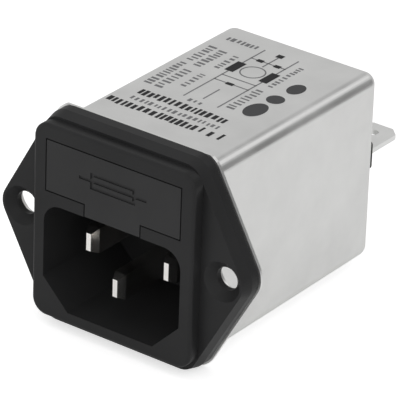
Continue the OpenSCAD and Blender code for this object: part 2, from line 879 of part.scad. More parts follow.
module y_capacitors() {
    color([0.22, 0.42, 0.66]) both_sides() translate([0, y_cap_y, y_cap_z]) rotate([0, 90, 0])
        rotate_extrude() intersection() {
            translate([0, y_cap_x]) round_rect(y_cap_d, y_cap_t, y_cap_edge_r);
            translate([0, y_cap_x - y_cap_t]) square([y_cap_d, 2 * y_cap_t]);
        }
}

module y_capacitor_leads() {
    reach = y_cap_y - sqrt(pow(y_cap_d / 2 - y_cap_edge_r, 2) - pow(y_cap_pitch / 2, 2));
    color([0.80, 0.80, 0.78]) difference() {
        both_sides() for (z = [-1, 1])
            rod_y(lead_d, board_front - lead_end, reach, y_cap_x, y_cap_z + z * y_cap_pitch / 2);
        y_capacitors();
    }
}

module bleed_resistor() {
    color([0.66, 0.74, 0.78]) translate([0, resistor_y, resistor_z])
        rod_x(resistor_d, -resistor_l / 2, resistor_l / 2);
}

module resistor_leads() {
    x = resistor_pitch / 2;
    color([0.80, 0.80, 0.78]) both_sides() {
        translate([0, resistor_y, resistor_z]) rod_x(lead_d, resistor_l / 2, x);
        translate([x, resistor_y, resistor_z]) sphere(d = lead_d);
        rod_y(lead_d, board_front - lead_end, resistor_y, x, resistor_z);
    }
}

// An insulated wire on the +X side, from the board to the top of its blade
module wire() {
    rod_y(wire_d, board_back, wire_end, wire_x, wire_z);
}

module line_wire() {
    color([0.45, 0.26, 0.14]) mirror([1, 0, 0]) wire();
}

module neutral_wire() {
    color([0.14, 0.30, 0.62]) wire();
}

module earth_strap() {
    w = strap_w / 2;
    top = strap_z + strap_t / 2;
    low = rivet_z - rivet_head_d / 2;
    color([0.74, 0.42, 0.24]) difference() {
        union() {
            span([-w, w], [board_back, can_inner_end], [top - strap_t, top]);
            span([-w, w], [can_inner_end - strap_t, can_inner_end], [low, top]);
        }
        rod_y(rivet_d, board_back, can_l, 0, rivet_z);
    }
}

// ---- Terminals -----------------------------------------------------------------

// A flat blade about x = 0, from y0 to its chamfered end, with its hole
module blade(y0) {
    w = blade_w / 2;
    end_w = w - blade_chamfer;
    side_end = blade_end - blade_chamfer;
    difference() {
        translate([0, 0, -blade_t / 2]) linear_extrude(blade_t)
            polygon([[-w, y0], [w, y0], [w, side_end], [end_w, blade_end],
                     [-end_w, blade_end], [-w, side_end]]);
        translate([0, blade_end - blade_hole_y, -blade_t])
            cylinder(h = 2 * blade_t, d = blade_hole_d);
    }
}

module line_blade() {
    color([0.84, 0.84, 0.82]) translate([-blade_x, 0, blade_z]) blade(can_l - blade_inner_l);
}

module neutral_blade() {
    color([0.84, 0.84, 0.82]) translate([blade_x, 0, blade_z]) blade(can_l - blade_inner_l);
}

module earth_blade() {
    w = blade_w / 2;
    top = earth_blade_z + blade_t / 2;
    color([0.84, 0.84, 0.82]) difference() {
        union() {
            translate([0, 0, earth_blade_z]) blade(can_l);
            span([-w, w], [can_l, can_l + blade_t], [top - foot_h, top]);
        }
        rod_y(rivet_d, can_l - over, can_l + 2 * blade_t, 0, rivet_z);
    }
}

module earth_rivet() {
    inner = can_inner_end - strap_t;
    outer = can_l + blade_t;
    color([0.78, 0.76, 0.70]) {
        rod_y(rivet_d, inner - rivet_head_t, outer + rivet_head_t, 0, rivet_z);
        rod_y(rivet_head_d, inner - rivet_head_t, inner, 0, rivet_z);
        rod_y(rivet_head_d, outer, outer + rivet_head_t, 0, rivet_z);
    }
}

module rear_insulator() {
    plate_end = can_inner_end - can_fit;
    plate_y = plate_end - insulator_t;
    boss_end = can_l + boss_l;
    color([0.16, 0.16, 0.17]) translate([0, 0, blade_z]) difference() {
        union() {
            along_y(plate_y, plate_end) round_rect(insulator_w, insulator_h, boss_r);
            both_sides()
                translate([blade_x, 0, 0]) along_y(plate_y, boss_end)
                    round_rect(boss_w, boss_h, boss_r);
        }
        both_sides()
            span([blade_x - blade_w / 2, blade_x + blade_w / 2],
                 [plate_y - over, boss_end + over], [-blade_t / 2, blade_t / 2]);
    }
}

front_moulding();
shield_can();
fuse_drawer();
fuse_glass();
fuse_caps();
fuse_element();
spare_glass();
spare_caps();
spare_element();
line_fuse_contact();
load_fuse_contact();
line_pin();
neutral_pin();
earth_pin();
circuit_board();
choke_core();
choke_divider();
line_winding();
neutral_winding();
x_capacitor();
x_capacitor_leads();
y_capacitors();
y_capacitor_leads();
bleed_resistor();
resistor_leads();
line_wire();
neutral_wire();
earth_strap();
rear_insulator();
line_blade();
neutral_blade();
earth_blade();
earth_rivet();
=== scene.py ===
"""Looks of a mains inlet filter with a fuse drawer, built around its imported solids.

X runs across the inlet, Y from the front face back into the can, Z up. All
lengths are in metres unless a name says otherwise.
"""

import logging
import math
import random
from dataclasses import dataclass, field
from enum import Enum

import bmesh
import bpy
from mathutils import Matrix, Vector


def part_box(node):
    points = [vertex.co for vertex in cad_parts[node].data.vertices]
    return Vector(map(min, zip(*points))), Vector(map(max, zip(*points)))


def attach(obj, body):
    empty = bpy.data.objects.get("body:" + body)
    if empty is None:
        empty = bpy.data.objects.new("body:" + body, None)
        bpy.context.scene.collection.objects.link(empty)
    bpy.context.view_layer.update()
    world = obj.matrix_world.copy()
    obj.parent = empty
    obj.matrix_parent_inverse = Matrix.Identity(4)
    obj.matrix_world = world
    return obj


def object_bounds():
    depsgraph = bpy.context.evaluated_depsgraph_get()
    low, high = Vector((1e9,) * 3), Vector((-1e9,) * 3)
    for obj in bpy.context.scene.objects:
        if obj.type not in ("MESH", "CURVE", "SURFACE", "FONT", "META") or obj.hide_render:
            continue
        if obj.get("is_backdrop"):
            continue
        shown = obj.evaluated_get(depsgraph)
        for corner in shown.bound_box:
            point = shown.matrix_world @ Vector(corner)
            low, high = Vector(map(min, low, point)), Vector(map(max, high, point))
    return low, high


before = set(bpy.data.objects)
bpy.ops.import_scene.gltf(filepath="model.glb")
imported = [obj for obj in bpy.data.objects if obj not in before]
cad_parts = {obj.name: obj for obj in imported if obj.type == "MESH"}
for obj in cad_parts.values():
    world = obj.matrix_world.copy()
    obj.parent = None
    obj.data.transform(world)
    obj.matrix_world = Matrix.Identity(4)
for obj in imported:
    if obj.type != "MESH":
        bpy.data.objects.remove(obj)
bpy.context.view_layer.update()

MM = 0.001

log = logging.getLogger("inlet_filter")

Colour = tuple[float, float, float]


class Effect(str, Enum):
    """The surface effects that several materials share."""

    CLOUDS = "soft_clouds"
    GRAIN = "moulded_grain"
    LINES = "drawn_lines"


# ---- Shared effects ----------------------------------------------------------

# The Mix node's sockets for colours, whose names it also gives to other sockets.
MIX_COLOUR_A, MIX_COLOUR_B, MIX_COLOUR_RESULT = 6, 7, 2


class Nodes:
    """A thin wrapper that adds and links nodes in one node tree."""

    def __init__(self, tree: bpy.types.NodeTree) -> None:
        """Keeps the tree that the nodes go into.

        Args:
            tree: the node tree of a material, a world or a group.
        """
        self.tree = tree

    def add(self, kind: str, **values: object) -> bpy.types.Node:
        """Adds a node and sets its properties and unlinked inputs.

        Args:
            kind: the node's type name.
            values: properties by name, or input sockets by name with spaces as
                underscores.

        Returns:
            The new node.
        """
        node = self.tree.nodes.new(kind)
        for name, value in values.items():
            socket = node.inputs.get(name.replace("_", " "))
            if socket is not None:
                socket.default_value = value
            else:
                setattr(node, name, value)
        return node

    def link(self, start: bpy.types.NodeSocket, end: bpy.types.NodeSocket) -> None:
        """Links an output socket to an input socket."""
        self.tree.links.new(start, end)

    def maths(self, operation: str, *terms: object) -> bpy.types.NodeSocket:
        """Adds a Math node.

        Args:
            operation: the Math node's operation.
            terms: numbers or output sockets, in the order of the node's inputs.

        Returns:
            The node's output socket.
        """
        node = self.tree.nodes.new("ShaderNodeMath")
        node.operation = operation
        for socket, term in zip(node.inputs, terms):
            if isinstance(term, bpy.types.NodeSocket):
                self.link(term, socket)
            else:
                socket.default_value = term
        return node.outputs[0]


class EffectGroups:
    """Builds each shared effect once, as a node group, and hands it out.

    cloud_range is the part of the noise that the clouds' whole change is spread over.
    """

    cloud_range: tuple[float, float] = (0.3, 0.7)

    def __init__(self) -> None:
        """Starts with no group built."""
        self.built: dict[Effect, bpy.types.NodeTree] = {}

    def group(self, effect: Effect) -> bpy.types.NodeTree:
        """Gives the node group of an effect and builds it when first asked.

        Args:
            effect: the effect that is wanted.

        Returns:
            The node group.
        """
        if effect not in self.built:
            makers = {
                Effect.CLOUDS: self.soft_clouds,
                Effect.GRAIN: self.moulded_grain,
                Effect.LINES: self.drawn_lines,
            }
            self.built[effect] = makers[effect]()
        return self.built[effect]

    @staticmethod
    def start(
        effect: Effect,
        inputs: dict[str, float | tuple[float, float, float, float]],
        outputs: dict[str, str],
    ) -> tuple[Nodes, bpy.types.Node, bpy.types.Node]:
        """Makes an empty group with its named sockets.

        Args:
            effect: the effect, whose value names the group.
            inputs: default values by input name; a colour is a tuple.
            outputs: socket types by output name.

        Returns:
            The group's nodes, its input node and its output node.
        """
        tree = bpy.data.node_groups.new(effect.value, "ShaderNodeTree")
        for name, value in inputs.items():
            kind = "NodeSocketColor" if isinstance(value, tuple) else "NodeSocketFloat"
            socket = tree.interface.new_socket(name, in_out="INPUT", socket_type=kind)
            socket.default_value = value
        for name, kind in outputs.items():
            tree.interface.new_socket(name, in_out="OUTPUT", socket_type=kind)
        nodes = Nodes(tree)
        return nodes, nodes.add("NodeGroupInput"), nodes.add("NodeGroupOutput")

    def soft_clouds(self) -> bpy.types.NodeTree:
        """Builds a slow change of tone and roughness, as handling leaves.

        Returns:
            The node group, with outputs Color and Roughness.
        """
        nodes, given, result = self.start(
            Effect.CLOUDS,
            {
                "Dark": (0.1, 0.1, 0.1, 1.0),
                "Light": (0.2, 0.2, 0.2, 1.0),
                "Scale": 100.0,
                "Smooth": 0.3,
                "Rough": 0.4,
            },
            {"Color": "NodeSocketColor", "Roughness": "NodeSocketFloat"},
        )
        place = nodes.add("ShaderNodeTexCoord")
        noise = nodes.add("ShaderNodeTexNoise", Detail=3.0, Roughness=0.55)
        tone = nodes.add("ShaderNodeMix", data_type="RGBA")
        rough = nodes.add("ShaderNodeMapRange")
        spread = nodes.add("ShaderNodeMapRange")
        least, most = self.cloud_range
        spread.inputs["From Min"].default_value = least
        spread.inputs["From Max"].default_value = most
        nodes.link(place.outputs["Object"], noise.inputs["Vector"])
        nodes.link(given.outputs["Scale"], noise.inputs["Scale"])
        nodes.link(noise.outputs[0], spread.inputs["Value"])
        nodes.link(spread.outputs[0], tone.inputs["Factor"])
        nodes.link(given.outputs["Dark"], tone.inputs[MIX_COLOUR_A])
        nodes.link(given.outputs["Light"], tone.inputs[MIX_COLOUR_B])
        nodes.link(spread.outputs[0], rough.inputs["Value"])
        nodes.link(given.outputs["Smooth"], rough.inputs["To Min"])
        nodes.link(given.outputs["Rough"], rough.inputs["To Max"])
        nodes.link(tone.outputs[MIX_COLOUR_RESULT], result.inputs["Color"])
        nodes.link(rough.outputs[0], result.inputs["Roughness"])
        return nodes.tree

    def moulded_grain(self) -> bpy.types.NodeTree:
        """Builds the fine grain of a spark-eroded mould.

        Returns:
            The node group, with output Height.
        """
        nodes, given, result = self.start(
            Effect.GRAIN, {"Scale": 4000.0, "Fine": 0.6}, {"Height": "NodeSocketFloat"}
        )
        place = nodes.add("ShaderNodeTexCoord")
        coarse = nodes.add("ShaderNodeTexNoise", Detail=2.0)
        cells = nodes.add("ShaderNodeTexVoronoi")
        nodes.link(place.outputs["Object"], coarse.inputs["Vector"])
        nodes.link(place.outputs["Object"], cells.inputs["Vector"])
        nodes.link(given.outputs["Scale"], coarse.inputs["Scale"])
        nodes.link(given.outputs["Scale"], cells.inputs["Scale"])
        fine = nodes.maths("MULTIPLY", cells.outputs["Distance"], given.outputs["Fine"])
        nodes.link(nodes.maths("ADD", coarse.outputs[0], fine), result.inputs["Height"])
        return nodes.tree

    def drawn_lines(self) -> bpy.types.NodeTree:
        """Builds the faint lines that drawing and rolling leave along Y.

        Returns:
            The node group, with output Height.
        """
        nodes, given, result = self.start(
            Effect.LINES,
            {"Scale": 1500.0, "Stretch": 0.02},
            {"Height": "NodeSocketFloat"},
        )
        place = nodes.add("ShaderNodeTexCoord")
        axes = nodes.add("ShaderNodeSeparateXYZ")
        joined = nodes.add("ShaderNodeCombineXYZ")
        noise = nodes.add("ShaderNodeTexNoise", Detail=2.0)
        nodes.link(place.outputs["Object"], axes.inputs[0])
        nodes.link(axes.outputs[0], joined.inputs[0])
        along = nodes.maths("MULTIPLY", axes.outputs[1], given.outputs["Stretch"])
        nodes.link(along, joined.inputs[1])
        nodes.link(axes.outputs[2], joined.inputs[2])
        nodes.link(joined.outputs[0], noise.inputs["Vector"])
        nodes.link(given.outputs["Scale"], noise.inputs["Scale"])
        nodes.link(noise.outputs[0], result.inputs["Height"])
        return nodes.tree


EFFECTS = EffectGroups()


# ---- Finishes ----------------------------------------------------------------


def scaled(colour: Colour, factor: float) -> tuple[float, float, float, float]:
    """Brightens or darkens a colour and adds an opaque alpha.

    Args:
        colour: linear red, green and blue.
        factor: what each of them is multiplied by.

    Returns:
        Red, green, blue and alpha.
    """
    return (colour[0] * factor, colour[1] * factor, colour[2] * factor, 1.0)


@dataclass(frozen=True)
class Finish:
    """A finish with a slow change of tone and a grain.

    The tone goes from colour * (1 - change) to colour * (1 + change).
    """

    name: str
    colour: Colour
    smooth: float
    rough: float
    change: float = 0.12
    cloud_scale: float = 90.0
    metallic: float = 0.0
    specular: float = 0.5
    coat: float = 0.0
    grain: Effect = Effect.GRAIN
    grain_scale: float = 5000.0
    grain_depth: float = 0.000004
    grain_strength: float = 0.25

    def clouds(self, nodes: Nodes) -> bpy.types.Node:
        """Places the shared cloud effect with this finish's values.

        Args:
            nodes: the material's nodes.

        Returns:
            The group node.
        """
        node = nodes.add("ShaderNodeGroup")
        node.node_tree = EFFECTS.group(Effect.CLOUDS)
        node.inputs["Dark"].default_value = scaled(self.colour, 1 - self.change)
        node.inputs["Light"].default_value = scaled(self.colour, 1 + self.change)
        node.inputs["Scale"].default_value = self.cloud_scale
        node.inputs["Smooth"].default_value = self.smooth
        node.inputs["Rough"].default_value = self.rough
        return node

    def bump(self, nodes: Nodes) -> bpy.types.Node:
        """Places the finish's grain and turns its height into a normal.

        Args:
            nodes: the material's nodes.

        Returns:
            The Bump node.
        """
        grain = nodes.add("ShaderNodeGroup")
        grain.node_tree = EFFECTS.group(self.grain)
        grain.inputs["Scale"].default_value = self.grain_scale
        bump = nodes.add(
            "ShaderNodeBump", Strength=self.grain_strength, Distance=self.grain_depth
        )
        nodes.link(grain.outputs["Height"], bump.inputs["Height"])
        return bump

    def shader(self, nodes: Nodes) -> bpy.types.Node:
        """Adds the Principled shader with the values that are the same all over.

        Args:
            nodes: the material's nodes.

        Returns:
            The shader node.
        """
        shader = nodes.add("ShaderNodeBsdfPrincipled")
        shader.inputs["Metallic"].default_value = self.metallic
        shader.inputs["Specular IOR Level"].default_value = self.specular
        shader.inputs["Coat Weight"].default_value = self.coat
        return shader

    def material(self) -> bpy.types.Material:
        """Builds the material, or gives the one built before.

        Returns:
            The material.
        """
        known = bpy.data.materials.get(self.name)
        if known is not None:
            return known
        material = bpy.data.materials.new(self.name)
        material.use_nodes = True
        material.node_tree.nodes.clear()
        nodes = Nodes(material.node_tree)
        shader = self.shader(nodes)
        clouds = self.clouds(nodes)
        nodes.link(clouds.outputs["Color"], shader.inputs["Base Color"])
        nodes.link(clouds.outputs["Roughness"], shader.inputs["Roughness"])
        nodes.link(self.bump(nodes).outputs["Normal"], shader.inputs["Normal"])
        self.finish_off(shader)
        output = nodes.add("ShaderNodeOutputMaterial")
        nodes.link(shader.outputs[0], output.inputs["Surface"])
        return material

    def finish_off(self, shader: bpy.types.Node) -> None:
        """Leaves the shader as it is; other kinds of finish add to it here."""


@dataclass(frozen=True)
class ClearGlass(Finish):
    """Clear glass tube."""

    ior: float = 1.5

    def finish_off(self, shader: bpy.types.Node) -> None:
        """Lets light through."""
        shader.inputs["Transmission Weight"].default_value = 1.0
        shader.inputs["IOR"].default_value = self.ior


class Finishes:
    """Every finish of the filter, by what it is made of."""

    moulding = Finish(
        "satin_black_moulding",
        (0.024, 0.024, 0.0245),
        0.36,
        0.46,
        specular=0.13,
    )
    drawer = Finish(
        "satin_black_drawer",
        (0.030, 0.030, 0.0305),
        0.38,
        0.48,
        specular=0.17,
    )
    can = Finish(
        "tinned_can_steel",
        (0.78, 0.78, 0.77),
        0.28,
        0.38,
        change=0.05,
        cloud_scale=130.0,
        metallic=1.0,
        grain=Effect.LINES,
        grain_scale=900.0,
        grain_depth=0.00001,
        grain_strength=0.12,
    )
    nickel = Finish(
        "bright_nickel_plate",
        (0.92, 0.90, 0.87),
        0.14,
        0.24,
        change=0.05,
        metallic=1.0,
        grain=Effect.LINES,
        grain_scale=2500.0,
    )
    tin = Finish(
        "tinned_blade_brass",
        (0.84, 0.84, 0.83),
        0.26,
        0.38,
        change=0.06,
        metallic=1.0,
        grain=Effect.LINES,
        grain_scale=2500.0,
    )
    bronze = Finish(
        "rolled_spring_bronze",
        (0.62, 0.40, 0.18),
        0.25,
        0.35,
        metallic=1.0,
        grain=Effect.LINES,
        grain_scale=2500.0,
    )
    fuse_glass = ClearGlass(
        "clear_fuse_glass", (0.92, 0.96, 0.96), 0.02, 0.05, change=0.02
    )
    fuse_wire = Finish(
        "bare_fuse_wire", (0.62, 0.61, 0.58), 0.3, 0.4, metallic=1.0
    )
    laminate = Finish(
        "green_board_laminate", (0.02, 0.13, 0.06), 0.3, 0.45, coat=0.3
    )
    ferrite = Finish(
        "coated_ferrite", (0.03, 0.03, 0.033), 0.4, 0.6, grain_scale=2500.0
    )
    divider = Finish("natural_polyamide", (0.62, 0.59, 0.48), 0.4, 0.5)
    enamel = Finish(
        "enamelled_copper_wire", (0.42, 0.13, 0.04), 0.2, 0.3, metallic=0.85, coat=0.5
    )
    capacitor_box = Finish("yellow_capacitor_box", (0.55, 0.33, 0.04), 0.25, 0.35)
    disc_lacquer = Finish(
        "blue_disc_lacquer", (0.02, 0.09, 0.32), 0.2, 0.35, coat=0.4
    )
    resistor = Finish("resistor_lacquer", (0.25, 0.42, 0.50), 0.25, 0.4, coat=0.3)
    tinned_wire = Finish(
        "tinned_lead_wire", (0.66, 0.66, 0.65), 0.25, 0.35, metallic=1.0
    )
    brown_wire = Finish("brown_wire_insulation", (0.10, 0.035, 0.012), 0.4, 0.5)
    blue_wire = Finish("blue_wire_insulation", (0.012, 0.05, 0.26), 0.4, 0.5)
    copper = Finish(
        "bare_copper_strap", (0.60, 0.24, 0.11), 0.25, 0.4, metallic=1.0
    )
    rivet = Finish(
        "zinc_plated_rivet", (0.56, 0.55, 0.52), 0.3, 0.42, metallic=1.0
    )
    ink = Finish("grey_print_ink", (0.16, 0.16, 0.165), 0.5, 0.6)
    dark_ink = Finish(
        "black_print_ink", (0.02, 0.02, 0.021), 0.5, 0.6, specular=0.15
    )
    mark_ink = Finish(
        "dark_grey_print_ink", (0.06, 0.06, 0.062), 0.5, 0.6, specular=0.2
    )


def dress(finish: Finish, *nodes: str) -> None:
    """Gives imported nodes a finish.

    Args:
        finish: the finish to give.
        nodes: the names of the nodes.
    """
    for name in nodes:
        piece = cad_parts[name]
        piece.data.materials.clear()
        piece.data.materials.append(finish.material())
        log.info("dressed %s in %s", name, finish.name)


def new_piece(
    name: str, mesh: bmesh.types.BMesh, finish: Finish, body: str
) -> None:
    """Turns a finished mesh into a piece of the object.

    Args:
        name: the piece's name.
        mesh: its shape, in the part's frame; freed here.
        finish: the finish to give it.
        body: the body that it rides on.
    """
    data = bpy.data.meshes.new(name)
    mesh.to_mesh(data)
    mesh.free()
    piece = bpy.data.objects.new(name, data)
    bpy.context.scene.collection.objects.link(piece)
    data.materials.append(finish.material())
    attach(piece, body)
    log.info("made %s with %d faces", name, len(data.polygons))


# ---- Sub-assemblies ----------------------------------------------------------


@dataclass(frozen=True)
class StrokeRow:
    """A field of plain strokes that stands for one line of small print.

    x and y are the field's ranges in millimetres. The strokes follow each other
    along X, or along Y where upright is set. The two spreads are the least and the
    greatest share of the plain stroke and gap, and of the field's height.
    """

    x: tuple[float, float]
    y: tuple[float, float]
    stroke: float
    gap: float
    upright: bool = False
    length_spread: tuple[float, float] = (0.7, 1.4)
    height_spread: tuple[float, float] = (0.72, 1.0)

    def strokes(
        self, dice: random.Random
    ) -> list[tuple[float, float, float, float]]:
        """Lays the strokes out from one end of the field to the other.

        Args:
            dice: the seeded source of their small differences.

        Returns:
            The ranges x0, x1, y0, y1 of each stroke, in millimetres.
        """
        along, across = (self.y, self.x) if self.upright else (self.x, self.y)
        place = along[0]
        found = []
        while place < along[1] - self.stroke / 2:
            length = self.stroke * dice.uniform(*self.length_spread)
            end = min(place + length, along[1])
            height = (across[1] - across[0]) * dice.uniform(*self.height_spread)
            low = dice.uniform(across[0], across[1] - height)
            found.append((place, end, low, low + height))
            place = end + self.gap * dice.uniform(*self.length_spread)
        if self.upright:
            return [(c, d, a, b) for a, b, c, d in found]
        return found


@dataclass
class TopPrint:
    """The print on the can's top, kept to plain strokes, bars, ovals and a ring.

    Each rise is how far the ink stands above the steel, in metres. The other sizes
    and all places are in millimetres.
    """

    body: str = "housing"
    slot: str = "can_steel"
    rise: float = 0.02 * MM
    bold_rise: float = 0.03 * MM
    round_parts: int = 32
    line: float = 0.22
    seed: int = 11
    title_rows: list[StrokeRow] = field(
        default_factory=lambda: [
            StrokeRow((-11.7, 4.4), (6.9, 8.7), 0.55, 0.38),
            StrokeRow((4.8, 8.7), (6.9, 8.9), 0.45, 0.9),
            StrokeRow((-9.4, 6.8), (11.5, 13.3), 0.5, 0.36),
        ]
    )
    small_rows: list[StrokeRow] = field(
        default_factory=lambda: [
            StrokeRow((-9.2, 6.8), (9.5, 10.6), 0.4, 0.45),
            StrokeRow((-10.4, -5.0), (34.7, 35.9), 0.5, 0.35),
            StrokeRow((-11.0, -9.6), (15.3, 24.3), 0.4, 0.45, True),
            StrokeRow((-9.1, -7.6), (15.2, 22.8), 0.4, 0.45, True),
            StrokeRow((-6.3, -5.2), (17.8, 22.8), 0.4, 0.5, True),
            StrokeRow((-11.0, -9.5), (25.6, 31.8), 0.4, 0.45, True),
            StrokeRow((-9.0, -7.4), (24.6, 31.8), 0.4, 0.45, True),
            StrokeRow((-6.2, -5.1), (25.9, 31.6), 0.4, 0.5, True),
            StrokeRow((3.7, 4.6), (25.7, 34.2), 0.35, 0.45, True),
            StrokeRow((3.0, 4.6), (16.2, 24.4), 0.35, 0.5, True),
            StrokeRow((-2.4, 0.6), (14.3, 15.2), 0.4, 0.45),
        ]
    )
    bars: list[tuple[float, float, float, float]] = field(
        default_factory=lambda: [
            (-4.45, -2.95, 26.3, 29.8),
            (1.7, 3.15, 26.3, 29.8),
            (-2.6, -1.5, 31.6, 32.4),
            (0.5, 1.6, 31.6, 32.4),
            (-1.5, -0.2, 22.4, 23.1),
            (-1.2, -0.1, 34.6, 35.6),
        ]
    )
    lines: list[tuple[float, float, float, float]] = field(
        default_factory=lambda: [
            (-3.7, -3.7, 15.4, 35.4),
            (2.4, 2.4, 15.4, 35.4),
            (-3.7, 2.4, 32.0, 32.0),
            (-0.6, -0.6, 30.6, 35.0),
            (-3.7, 2.4, 24.7, 24.7),
            (-3.7, 2.4, 22.8, 22.8),
            (-0.9, -0.9, 16.4, 20.2),
        ]
    )
    ring_centre: tuple[float, float] = (-0.6, 28.1)
    ring_radius: float = 1.9
    marks: list[tuple[float, float, float, float]] = field(
        default_factory=lambda: [
            (7.65, 27.5, 1.3, 1.8),
            (7.3, 22.8, 1.4, 1.4),
            (7.05, 18.2, 1.6, 2.4),
        ]
    )

    def height(self) -> float:
        """Finds how high the can's flat top lies.

        Returns:
            The top's Z, in metres.
        """
        low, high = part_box("shield_can")
        # The collar at the front may stand higher, so only the rear half counts.
        middle = (low[1] + high[1]) / 2
        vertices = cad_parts["shield_can"].data.vertices
        return max(v.co.z for v in vertices if v.co.y > middle)

    def slab(
        self,
        mesh: bmesh.types.BMesh,
        outline: list[tuple[float, float]],
        top: float,
        bold: bool = False,
    ) -> None:
        """Adds a thin closed slab of ink on the can's top.

        Args:
            mesh: the mesh to add it to.
            outline: its corners in millimetres, counter-clockwise from above.
            top: the Z of the can's top, in metres.
            bold: whether it lies over the thin lines.
        """
        rise = self.bold_rise if bold else self.rise
        # The ink also reaches half as far into the steel, so that no gap shows.
        low, high = top - rise / 2, top + rise
        under = [mesh.verts.new((x * MM, y * MM, low)) for x, y in outline]
        over = [mesh.verts.new((x * MM, y * MM, high)) for x, y in outline]
        mesh.faces.new(over)
        mesh.faces.new(list(reversed(under)))
        for i, start in enumerate(under):
            j = (i + 1) % len(under)
            mesh.faces.new([start, under[j], over[j], over[i]])

    def box(
        self,
        mesh: bmesh.types.BMesh,
        ranges: tuple[float, float, float, float],
        top: float,
        bold: bool = False,
    ) -> None:
        """Adds a rectangular slab.

        Args:
            mesh: the mesh to add it to.
            ranges: x0, x1, y0, y1 in millimetres.
            top: the Z of the can's top, in metres.
            bold: whether it lies over the thin lines.
        """
        x0, x1, y0, y1 = ranges
        self.slab(mesh, [(x0, y0), (x1, y0), (x1, y1), (x0, y1)], top, bold)

    def turn(self, corner: int) -> float:
        """Gives the angle of one corner of a round shape, in radians."""
        return 2 * math.pi * corner / self.round_parts

    def ring(self, mesh: bmesh.types.BMesh, top: float) -> None:
        """Adds the thin ring between the two solid bars.

        Args:
            mesh: the mesh to add it to.
            top: the Z of the can's top, in metres.
        """
        cx, cy = self.ring_centre
        inner = self.ring_radius - self.line / 2
        outer = self.ring_radius + self.line / 2
        for k in range(self.round_parts):
            a, b = self.turn(k), self.turn(k + 1)
            corners = [(inner, a), (outer, a), (outer, b), (inner, b)]
            self.slab(
                mesh,
                [(cx + r * math.cos(t), cy + r * math.sin(t)) for r, t in corners],
                top,
            )

    def build(self) -> None:
        """Builds the print as three pieces: small strokes, bold ones, the marks."""
        top = self.height()
        dice = random.Random(self.seed)
        small = bmesh.new()
        for row in self.small_rows:
            for ranges in row.strokes(dice):
                self.box(small, ranges, top)
        half = self.line / 2
        for x0, x1, y0, y1 in self.lines:
            self.box(small, (x0 - half, x1 + half, y0 - half, y1 + half), top)
        self.ring(small, top)
        new_piece("top_print_small", small, Finishes.ink, self.body)
        bold = bmesh.new()
        for row in self.title_rows:
            for ranges in row.strokes(dice):
                self.box(bold, ranges, top, bold=True)
        for ranges in self.bars:
            self.box(bold, ranges, top, bold=True)
        new_piece("top_print_bold", bold, Finishes.dark_ink, self.body)
        spots = bmesh.new()
        turns = [self.turn(k) for k in range(self.round_parts)]
        for cx, cy, rx, ry in self.marks:
            self.slab(
                spots,
                [(cx + rx * math.cos(t), cy + ry * math.sin(t)) for t in turns],
                top,
            )
        new_piece("top_print_marks", spots, Finishes.mark_ink, self.body)


@dataclass
class Housing:
    """The front moulding, the can and its print."""

    print_on_top: TopPrint = field(default_factory=TopPrint)

    def build(self) -> None:
        """Dresses the moulding and the can, and prints the can's top."""
        dress(Finishes.moulding, "front_moulding", "rear_insulator")
        dress(Finishes.can, "shield_can")
        self.print_on_top.build()


class FuseDrawer:
    """The drawer with the fuse in use and the spare one."""

    def build(self) -> None:
        """Dresses the drawer and both fuses."""
        dress(Finishes.drawer, "fuse_drawer")
        dress(Finishes.fuse_glass, "fuse_glass", "spare_glass")
        dress(Finishes.nickel, "fuse_caps", "spare_caps")
        dress(Finishes.fuse_wire, "fuse_element", "spare_element")
        dress(Finishes.bronze, "line_fuse_contact", "load_fuse_contact")


class Connections:
    """The inlet pins and the blade terminals."""

    def build(self) -> None:
        """Dresses the pins, the blades and the earth rivet."""
        dress(Finishes.nickel, "line_pin", "neutral_pin", "earth_pin")
        dress(Finishes.tin, "line_blade", "neutral_blade", "earth_blade")
        dress(Finishes.rivet, "earth_rivet")


class FilterCircuit:
    """The sealed filter circuit inside the can."""

    def build(self) -> None:
        """Dresses the board and the parts on it."""
        dress(Finishes.laminate, "circuit_board")
        dress(Finishes.ferrite, "choke_core")
        dress(Finishes.divider, "choke_divider")
        dress(Finishes.enamel, "line_winding", "neutral_winding")
        dress(Finishes.capacitor_box, "x_capacitor")
        dress(Finishes.disc_lacquer, "y_capacitors")
        dress(Finishes.resistor, "bleed_resistor")
        dress(
            Finishes.tinned_wire,
            "x_capacitor_leads",
            "y_capacitor_leads",
            "resistor_leads",
        )
        dress(Finishes.brown_wire, "line_wire")
        dress(Finishes.blue_wire, "neutral_wire")
        dress(Finishes.copper, "earth_strap")


# ---- Studio ------------------------------------------------------------------

# Where the lamps hang. The surroundings behind each of them are darkened.
KEY_PLACE = (0.30, -0.36, 0.33)
FRONT_PLACE = (-0.2, -0.6, 0.1)
TOP_PLACE = (-0.1, 0.0, 0.7)


@dataclass(frozen=True)
class SoftLamp:
    """A square soft lamp that faces a point."""

    name: str
    place: tuple[float, float, float]
    width: float
    watts: float
    target: tuple[float, float, float] = (0.0, 0.02, 0.0)

    def build(self) -> None:
        """Hangs the lamp in the studio."""
        data = bpy.data.lights.new(self.name, "AREA")
        data.size = self.width
        data.energy = self.watts
        lamp = bpy.data.objects.new(self.name, data)
        bpy.context.scene.collection.objects.link(lamp)
        lamp.location = self.place
        way = Vector(self.target) - Vector(self.place)
        lamp.rotation_mode = "QUATERNION"
        lamp.rotation_quaternion = way.to_track_quat("-Z", "Y")


